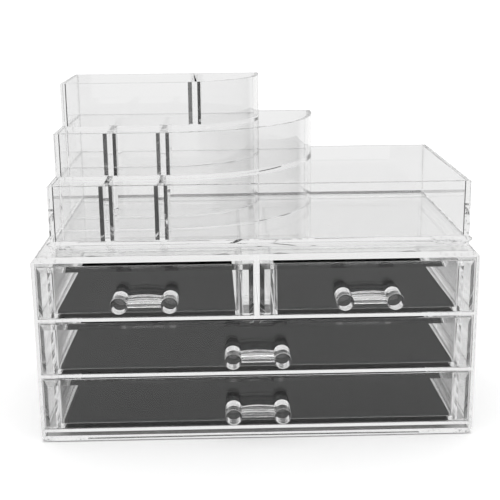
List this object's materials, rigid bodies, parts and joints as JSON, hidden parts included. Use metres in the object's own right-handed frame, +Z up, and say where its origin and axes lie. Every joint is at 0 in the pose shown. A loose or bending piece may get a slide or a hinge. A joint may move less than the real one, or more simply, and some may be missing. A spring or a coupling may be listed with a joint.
{
  "type": "acrylic makeup organizer with drawers",
  "caption": "Clear acrylic makeup organizer: drawers with black mats and bar handles in a case, under a stepped, curved tray with upright bays.",
  "frame": {"origin": "middle of the whole object's footprint, handles included, at the height of the surface it stands on", "axes": "+X along the front from left to right, +Y from the drawer fronts to the back, +Z up"},
  "size_m": [0.24, 0.15, 0.1905],
  "materials": {
    "clear_acrylic": "polished, clear",
    "moulded_handle": "polished, clear, ribbed bar",
    "black_mat": "matt woven mat"
  },
  "bodies": {
    "case": {"case_bottom": "clear_acrylic", "case_left": "clear_acrylic", "case_right": "clear_acrylic", "case_back": "clear_acrylic", "case_top": "clear_acrylic", "shelf_lower": "clear_acrylic", "shelf_middle": "clear_acrylic", "shelf_upper": "clear_acrylic", "case_divider": "clear_acrylic"},
    "drawer_1": {"drawer_1_front": "clear_acrylic", "drawer_1_box": "clear_acrylic", "drawer_1_liner": "black_mat", "drawer_1_handle": "moulded_handle"},
    "drawer_2": {"drawer_2_front": "clear_acrylic", "drawer_2_box": "clear_acrylic", "drawer_2_liner": "black_mat", "drawer_2_handle": "moulded_handle"},
    "drawer_3": {"drawer_3_front": "clear_acrylic", "drawer_3_box": "clear_acrylic", "drawer_3_liner": "black_mat", "drawer_3_handle": "moulded_handle"},
    "drawer_4": {"drawer_4_front": "clear_acrylic", "drawer_4_box": "clear_acrylic", "drawer_4_liner": "black_mat", "drawer_4_handle": "moulded_handle"},
    "tray": {"tray_front": "clear_acrylic", "tray_left": "clear_acrylic", "tray_right": "clear_acrylic", "tray_back": "clear_acrylic", "tray_floor": "clear_acrylic", "tier_2_wall": "clear_acrylic", "tier_3_wall": "clear_acrylic", "tier_2_floor": "clear_acrylic", "tier_3_floor": "clear_acrylic", "tier_1_divider_left": "clear_acrylic", "tier_1_divider_right": "clear_acrylic", "tier_2_divider_left": "clear_acrylic", "tier_2_divider_right": "clear_acrylic", "tier_3_divider": "clear_acrylic"}
  },
  "joints": [
    {"name": "drawer_1_slide", "type": "slide", "parent": "case", "child": "drawer_1", "axis": [0, -1, 0], "range_m": [0, 0.11]},
    {"name": "drawer_2_slide", "type": "slide", "parent": "case", "child": "drawer_2", "axis": [0, -1, 0], "range_m": [0, 0.11]},
    {"name": "drawer_3_slide", "type": "slide", "parent": "case", "child": "drawer_3", "axis": [0, -1, 0], "range_m": [0, 0.11]},
    {"name": "drawer_4_slide", "type": "slide", "parent": "case", "child": "drawer_4", "axis": [0, -1, 0], "range_m": [0, 0.11]},
    {"name": "tray_lift", "type": "slide", "parent": "case", "child": "tray", "axis": [0, 0, 1], "range_m": [0, 0.06]}
  ]
}
